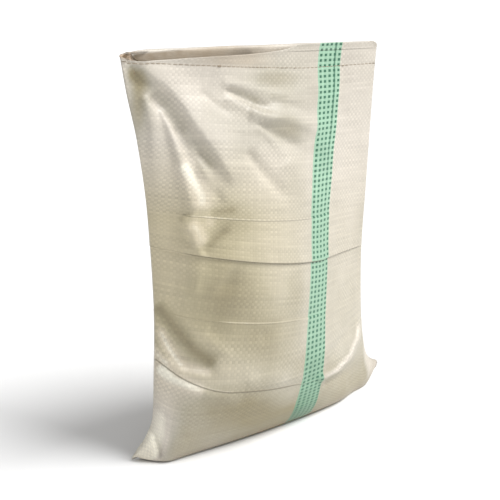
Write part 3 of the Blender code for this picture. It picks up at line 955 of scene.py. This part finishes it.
# painted shade of the tapes' relief, darker towards their edges
LIFT_SHADE = (0.05, 0.96)
PULL = (0.018, 0.9)  # scale of the pulls along u, and from weft tape to weft tape
PULL_SHADE = (0.28, 0.86)
BAND_HALF = 5 * TAPE
BAND_TINT = 0.78
PLEAT_U = STRIPE_U + 2.4 * TAPE
PLEAT_HALF = 1.8
PLEAT_V = (300, 110)
FOOT_HALF = 1.1
FOOT_U = (58, 384, 12)
# where the foot crease is darkened with painted shade, along u
FOOT_SHADE_U = (50, 268, 30)
CREASE_HALF = 1.3
CREASE_SOFT = 18
LOW_DUST = (60, 0.6)  # up to this v, and how strong
HEM_V = (452, 520, 6)
HEM_U = (60, 200, 50)
INSIDE_V = (HEIGHT + WALL_V + 15.5, 5)
INSIDE_FINE = 0.35
INSIDE_DARKER_U = (600, 45)
INSIDE_FULL_U = (480, 110)
INSIDE_SHARE = (0.75, 0.15)
CORNER_REACH = 30
CORNER_V = (456, 7)
# blotches of rust stain, painted shade and painted highlight at the corner
STAIN_AND_HIGHLIGHT_BLOTCHES = (190, 2, 0.36, 6)
CREASE_BUMP = (0.6, 0.0010)
WEAVE_BUMP = (0.18, 0.0004)
FINE_BUMP = (0.2, 0.0008)
CLOTH_ROUGHNESS = (0.12, 0.42)


def tape_pattern(g, u, v):
    """Numbers of the warp and weft tapes, 1 where the warp is on top, and the tapes' relief."""
    a = g.math("DIVIDE", u, TAPE)
    b = g.math("DIVIDE", v, WEFT)
    warp = g.math("FLOOR", a)
    weft = g.math("FLOOR", b)
    odd = g.math("MODULO", g.plus(g.plus(warp, weft), EVEN_BASE), 2)
    over = g.math("GREATER_THAN", odd, 0.5)
    hump_u = g.math("COSINE", g.times(g.minus(g.math("FRACT", a), 0.5), math.pi))
    hump_v = g.math("COSINE", g.times(g.minus(g.math("FRACT", b), 0.5), math.pi))
    lift = g.node("Mix", data_type="FLOAT")
    g.link(over, lift.inputs[0])
    g.link(g.times(hump_u, g.math("POWER", hump_v, TAPE_FLATNESS)), lift.inputs[2])
    g.link(g.times(hump_v, g.math("POWER", hump_u, TAPE_FLATNESS)), lift.inputs[3])
    return warp, weft, over, lift.outputs[0]


def plain_colour(g, place, u, v, dark):
    """Colour of the cloth by its tone, which carries painted shade and highlight: pale, cream, beige or
    shadowed, warmer over the fill.
    """
    mellow = g.plus(dark, g.times(g.minus(g.noise(place, 14, 3), 0.5), CLOUD_TONE))
    mellow = g.plus(mellow, PLAIN_TONE)
    backed = g.scaled(g.minus(1, g.rise(u, *UNBACKED_U)), *BACKED)
    backed = g.times(g.between(v, *BACKED_V), backed)
    cream = g.mix(backed, CREAM, CREAM_BACKED)
    colour = g.mix(mellow, cream, g.mix(backed, BEIGE, BEIGE_BACKED))
    colour = g.mix(g.minus(mellow, SHADOWED_FROM, clamp=True), colour, SHADOWED)
    return g.mix(g.minus(PALE_BELOW, mellow, clamp=True), colour, PALE)


def tape_shades(g, place, u, weft, over, lift, shade):
    """Grey to multiply the colour by: shades of the tapes, checks of painted sheen, painted shade of the
    tapes' relief and pulls along the weft.
    """
    tone = g.scaled(shade, *TAPE_SHADE)
    checks = g.times(g.minus(over, 0.5), g.scaled(g.blotches(place, *PATCHY), *SHEEN_CHECKS))
    tone = g.times(tone, g.plus(checks, 0.99))
    tone = g.times(tone, g.scaled(lift, *LIFT_SHADE))
    pulls = g.noise(g.vector(g.times(u, PULL[0]), g.times(weft, PULL[1])), 1, 1)
    tone = g.times(tone, g.scaled(pulls, *PULL_SHADE))
    grey = g.node("CombineColor")
    for i in range(3):
        g.link(tone, grey.inputs[i])
    return grey.outputs[0]


def add_stripe(g, colour, u, v, warp, over, dark):
    """Five green warp tapes, every other one, the mint over and beside them, and a pleat line of painted
    shade.
    """
    in_band = g.math("LESS_THAN", g.math("ABSOLUTE", g.minus(u, STRIPE_U)), BAND_HALF)
    even = g.math("LESS_THAN", g.math("MODULO", g.plus(warp, EVEN_BASE), 2), 0.5)
    # darker where the tone carries painted shade
    tinted = g.mix(g.times(dark, 0.35, clamp=True), MINT, GREEN)
    colour = g.mix(g.times(in_band, BAND_TINT), colour, tinted)
    dot = g.times(g.times(in_band, even), over)
    # painted shade in the pleat
    pleat = g.times(g.line(u, PLEAT_U, PLEAT_HALF), g.rise(v, *PLEAT_V))
    return g.mix(g.math("MAXIMUM", dot, g.times(pleat, 0.95)), colour, GREEN)


def creases(g, u, v):
    """Pressed creases of the cloth: how dark each place is with painted shade, and their relief."""
    relief = g.times(g.line(v, g.profile(u, FOOT_CREASE), FOOT_HALF), g.between(u, *FOOT_U))
    pressed = g.times(g.times(relief, g.between(u, *FOOT_SHADE_U)), FOOT_CREASE_DARK)
    for middle, first, last, darkness in SHADED_CREASES:
        crease = g.times(g.line(v, middle, CREASE_HALF), g.between(u, first, last, CREASE_SOFT))
        pressed = g.math("MAXIMUM", pressed, g.times(crease, darkness))
        relief = g.math("MAXIMUM", relief, crease)
    return pressed, relief


def add_dust(g, colour, place, u, v, fine):
    """Dust low on the sack, soiling and painted shade on the front hem and inside the mouth, and rust at
    its left corner with painted shade and highlight.
    """
    low = g.minus(1, g.math("DIVIDE", v, LOW_DUST[0]), clamp=True)
    colour = g.mix(g.times(g.times(low, fine), LOW_DUST[1]), colour, DUST_AND_SHADE)
    # soiling and painted shade on the front hem
    hem = g.times(g.between(v, *HEM_V), g.between(u, *HEM_U))
    colour = g.mix(g.times(hem, 0.5), colour, SOILED_AND_SHADE)
    # dust and painted shade inside the mouth
    inside = g.times(g.rise(v, *INSIDE_V), g.plus(fine, INSIDE_FINE), clamp=True)
    inside = g.times(inside, g.scaled(g.rise(u, *INSIDE_FULL_U), *INSIDE_SHARE))
    colour = g.mix(inside, colour, g.mix(g.rise(u, *INSIDE_DARKER_U), SOILED_AND_SHADE, DUST_AND_SHADE))
    # rust at the left corner of the mouth, with painted shade and highlight in its crumples
    edge = g.math("ABSOLUTE", g.minus(g.math("ABSOLUTE", g.minus(u, FLAT_WIDTH)), FLAT_WIDTH))
    near = g.minus(1, g.math("DIVIDE", edge, CORNER_REACH), clamp=True)
    corner = g.times(g.times(near, 1.4, clamp=True), g.rise(v, *CORNER_V))
    return g.mix(corner, colour, g.mix(g.blotches(place, *STAIN_AND_HIGHLIGHT_BLOTCHES), RUST_CREAM_HIGHLIGHT, STAIN_AND_SHADE))


def weave_material():
    """Plain weave of flat tapes with a green stripe, pressed creases and dust, with painted shade,
    highlight and sheen.
    """
    g = Graph("woven_polypropylene_cloth")
    split = g.node("SeparateXYZ")
    g.link(g.node("Attribute", attribute_name="weave").outputs["Vector"], split.inputs[0])
    u, v = split.outputs[0], split.outputs[1]
    dark = g.node("Attribute", attribute_name="tone").outputs["Fac"]
    place = g.place()
    fine = g.noise(place, FINE_SCALE)
    warp, weft, over, lift = tape_pattern(g, u, v)
    tape = g.vector(g.times(warp, over), g.times(weft, g.minus(1, over)))
    shade = g.texture("WhiteNoise", tape)["Value"]
    colour = plain_colour(g, place, u, v, dark)
    colour = add_stripe(g, colour, u, v, warp, over, dark)
    colour = g.mix(1, colour, tape_shades(g, place, u, weft, over, lift, shade), "MULTIPLY")
    pressed, relief = creases(g, u, v)
    colour = g.mix(pressed, colour, CREASE_SHADE)
    colour = add_dust(g, colour, place, u, v, fine)
    normal = g.bump(relief, *CREASE_BUMP)
    normal = g.bump(lift, *WEAVE_BUMP, normal)
    normal = g.bump(fine, *FINE_BUMP, normal)
    roughness = g.scaled(shade, *CLOTH_ROUGHNESS)
    return g.finish(Base_Color=colour, Roughness=roughness, Normal=normal,
                    Sheen_Weight=0.1, Sheen_Roughness=0.4)


def thread_material(name, colour):
    """Twisted sewing thread."""
    g = Graph(name)
    place = g.place()
    twist = g.texture("Wave", place, Scale=900, Distortion=1)["Fac"]
    dark = tuple(0.55 * c for c in colour)
    colour = g.mix(g.times(g.noise(place, 400), 0.8), colour, dark)
    return g.finish(Base_Color=colour, Roughness=0.75, Normal=g.bump(twist, 0.4, 0.0002))


def sand_material():
    """Loose dry sand: grains of several colours over soft heaps."""
    g = Graph("dry_sand_grains")
    place = g.place()
    grain = g.texture("Voronoi", place, Scale=900)
    colour = g.mix(g.noise(place, 25, 4), SAND_LIGHT, SAND_DARK)
    colour = g.mix(0.45, colour, grain["Color"], "OVERLAY")
    return g.finish(Base_Color=colour, Roughness=0.9, Normal=g.bump(grain["Distance"], 0.7, 0.0006))


def floor_material():
    """Matt and almost white."""
    g = Graph("pale_floor")
    return g.finish(Base_Color=g.mix(g.noise(g.place(), 3), FLOOR_LIGHT, FLOOR_DARK), Roughness=0.9)


def stitches(name, path, pitch, length, radius, knot=None):
    """A row of short thread stitches along a path of points, in mm."""
    sides = 6
    step = np.linalg.norm(np.diff(path, axis=0), axis=1)
    along = np.concatenate(([0], np.cumsum(step)))
    verts = []
    faces = []
    for number in range(int(along[-1] / pitch)):
        start = number * pitch + 0.5 * (pitch - length)
        thick = radius * (KNOT if number == knot else 1)
        first = len(verts)
        for k in range(STITCH_SPANS + 1):
            t = k / STITCH_SPANS
            here, ahead = (np.array([np.interp(at, along, path[:, i]) for i in range(3)])
                           for at in (start + length * t, start + length * t + STITCH_AHEAD))
            d = ahead - here
            d = d / max(np.linalg.norm(d), 1e-9)
            side = np.cross(d, (0, 0, 1))
            side = side / max(np.linalg.norm(side), 1e-9)
            up = np.cross(side, d)
            swell = thick * (STITCH_END + (1 - STITCH_END) * math.sin(math.pi * t) ** 0.5)
            for j in range(sides):
                a = 2 * math.pi * j / sides
                verts.append(tuple((here + swell * (math.cos(a) * side + math.sin(a) * up)) / PER_METRE))
        for k in range(STITCH_SPANS):
            for j in range(sides):
                m = (j + 1) % sides
                a = first + k * sides
                b = a + sides
                faces.append((a + j, b + j, b + m, a + m))
        faces.append(tuple(first + j for j in range(sides)))
        last = first + STITCH_SPANS * sides
        faces.append(tuple(last + sides - 1 - j for j in range(sides)))
    return mesh_object(name, verts, faces)


def build_hem_stitches():
    """Stitch line round the mouth, one hem depth below the rim."""
    q = spaced(120)
    levels = [np.minimum(HEIGHT - HEM_DEPTH, rim_level(q, front) - HEM_STITCH_DROP)
              for front in (True, False)]
    front, back = both_sides(q, levels, HEM_STITCH_OUT)
    path = np.concatenate((front, back[1:])) - SHIFT
    return stitches("mouth_stitches", path, *HEM_STITCH, HEM_KNOT)


def build_seam_stitches():
    """Chain stitch along the bottom seam, from ear to ear."""
    q = spaced(90)
    path = outline(q, np.zeros_like(q), np.full_like(q, SEAM_LIFT), True) - SHIFT
    return stitches("bottom_seam_stitches", path + np.array(SEAM_THREAD_AT), *SEAM_STITCH)


def build_sand():
    """The fill inside the cloth, with a loose uneven top."""
    q = np.linspace(-SAND_SIDE, SAND_SIDE, 61)
    levels = [np.full_like(q, z) for z in np.linspace(SAND_FOOT, SAND_TOP, 44)]
    rings = [np.concatenate(both_sides(q, (level, level), -SAND_GAP)) for level in levels]
    foot = rings[0]
    middle = foot.mean(axis=0)
    below = []
    for k in SAND_UNDER:
        row = middle + (foot - middle) * k
        row[:, 2] = SAND_FLOOR + (foot[:, 2] - foot[:, 2].min()) * k ** 4
        below.append(row)
    top = rings[-1]
    middle = top.mean(axis=0)
    above = []
    for k in SAND_OVER:
        row = middle + (top - middle) * k
        row[:, 2] = top[:, 2] * k + middle[2] * (1 - k) + SAND_HEAP * (1 - k * k)
        row[:, 2] += SAND_BUMPS * rumple(row, *SAND_NOISE) * (1 - k ** 4)
        above.append(row)
    rings = below + rings + above
    n = len(foot)
    last = (len(rings) - 1) * n
    faces = [tuple(range(n - 1, -1, -1))] + ring_faces(len(rings), n) + [tuple(range(last, last + n))]
    return mesh_object("sand_fill", in_metres(np.concatenate(rings)), faces)


def dress(obj, mat, node):
    """A piece with one material, attached to the root, with the solid that it replaces hidden."""
    obj.data.materials.append(mat)
    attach(obj, "root")
    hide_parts(node)
    return obj


def add_camera():
    """The photograph's own view."""
    data = bpy.data.cameras.new("photo_camera")
    data.sensor_width = SENSOR
    data.lens = FOCAL_PX / IMAGE_PX * SENSOR
    camera = add_object("photo_camera", data)
    camera.location = tuple((CAMERA_AT - SHIFT) / PER_METRE)
    camera.rotation_euler = (math.pi / 2 - CAMERA_PITCH, 0, -CAMERA_YAW)
    bpy.context.scene.camera = camera


def add_stage():
    """Pale floor and soft studio light."""
    size = FLOOR_HALF
    corners = [(-size, -size, 0), (size, -size, 0), (size, size, 0), (-size, size, 0)]
    floor = mesh_object("floor", corners, [(0, 1, 2, 3)])
    floor.data.materials.append(floor_material())
    world = bpy.data.worlds.new("studio")
    bpy.context.scene.world = world
    world.use_nodes = True
    background = world.node_tree.nodes["Background"]
    background.inputs["Color"].default_value = (1, 1, 1, 1)
    background.inputs["Strength"].default_value = SKY_LIGHT
    data = bpy.data.lights.new("key", "SUN")
    data.energy = KEY_LIGHT
    data.angle = KEY_SOFTNESS
    key = add_object("key", data)
    key.rotation_euler = Vector(KEY_FROM).to_track_quat("Z", "Y").to_euler()
    bpy.context.scene.view_settings.view_transform = "Standard"


add_camera()
cloth = dress(build_cloth(), weave_material(), "sack_fabric")
hem_thread = thread_material("hem_sewing_thread", SHADED_HEM_THREAD)
dress(build_hem_stitches(), hem_thread, "mouth_hem_thread")
seam_thread = thread_material("seam_sewing_thread", SEAM_THREAD)
dress(build_seam_stitches(), seam_thread, "bottom_seam_thread")
dress(build_sand(), sand_material(), "contents")
add_stage()
bpy.context.view_layer.update()
